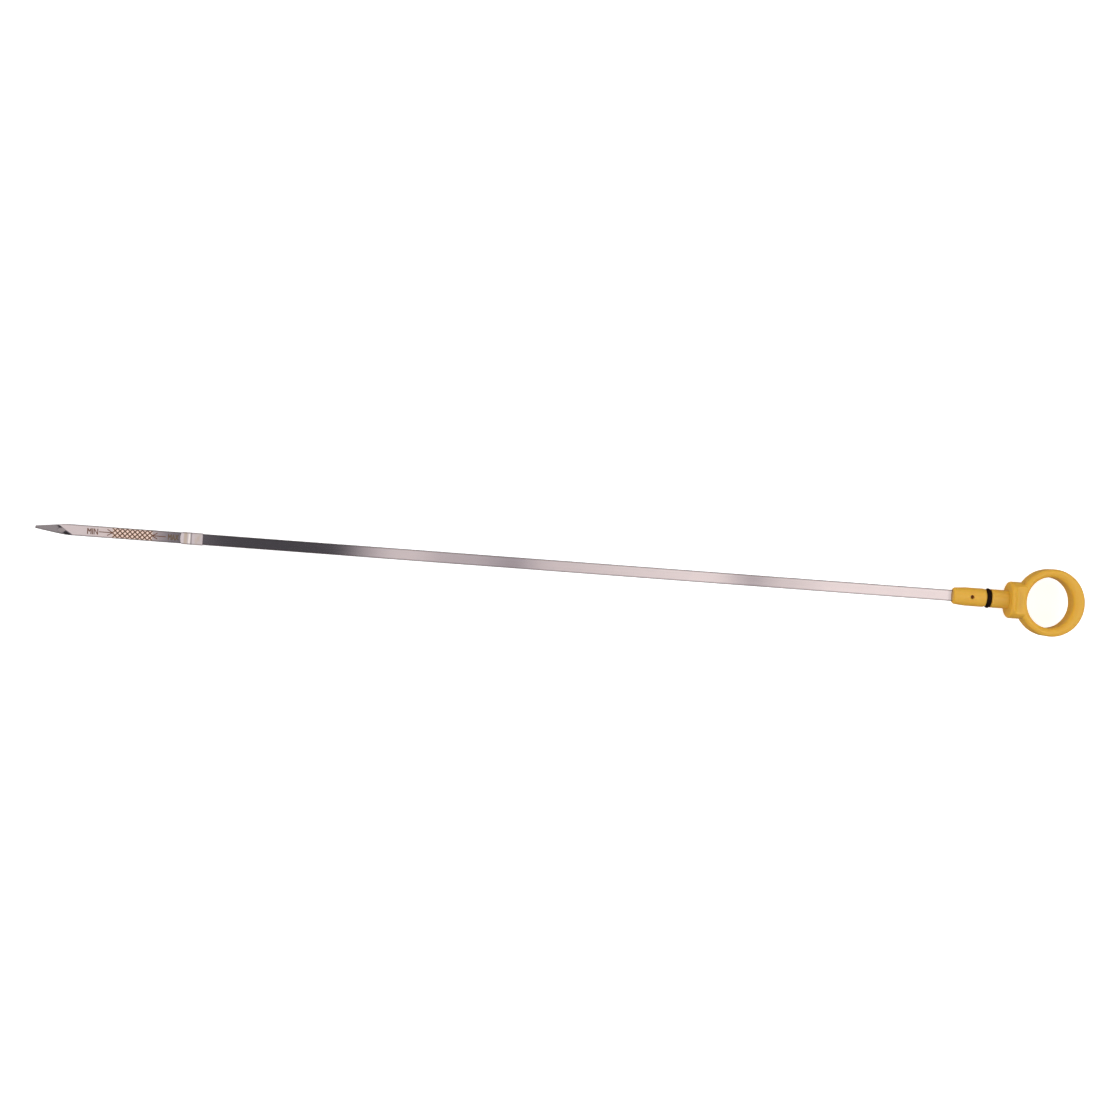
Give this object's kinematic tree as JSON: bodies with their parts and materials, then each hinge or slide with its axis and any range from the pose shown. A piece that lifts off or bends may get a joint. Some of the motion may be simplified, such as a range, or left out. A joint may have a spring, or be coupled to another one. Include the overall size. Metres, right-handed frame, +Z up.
{
  "type": "engine oil dipstick",
  "caption": "Flat steel oil dipstick blade with an engraved level hatch, a sprung guide clip and a bent point, moulded into a yellow finger-ring handle with a sealing collar.",
  "frame": {"origin": "centre of the collar's seat, on the stem's axis, where the dipstick stops on its tube", "axes": "+X along the dipstick from the tip to the finger ring, pitched about one degree as it lies; +Z up, out of the marked face of the blade; Y across the blade"},
  "size_m": [0.4712, 0.0302, 0.0164],
  "materials": {
    "blade_steel": "bright rolled spring steel, fine lengthwise grain, faintly warm",
    "handle_plastic": "satin moulded yellow plastic",
    "seal_rubber": "smooth black nitrile rubber",
    "clip_steel": "pressed sheet steel, a little duller than the blade"
  },
  "bodies": {
    "root": {"blade": "blade_steel", "handle": "handle_plastic", "o_ring": "seal_rubber", "guide_clip": "clip_steel"}
  },
  "joints": []
}
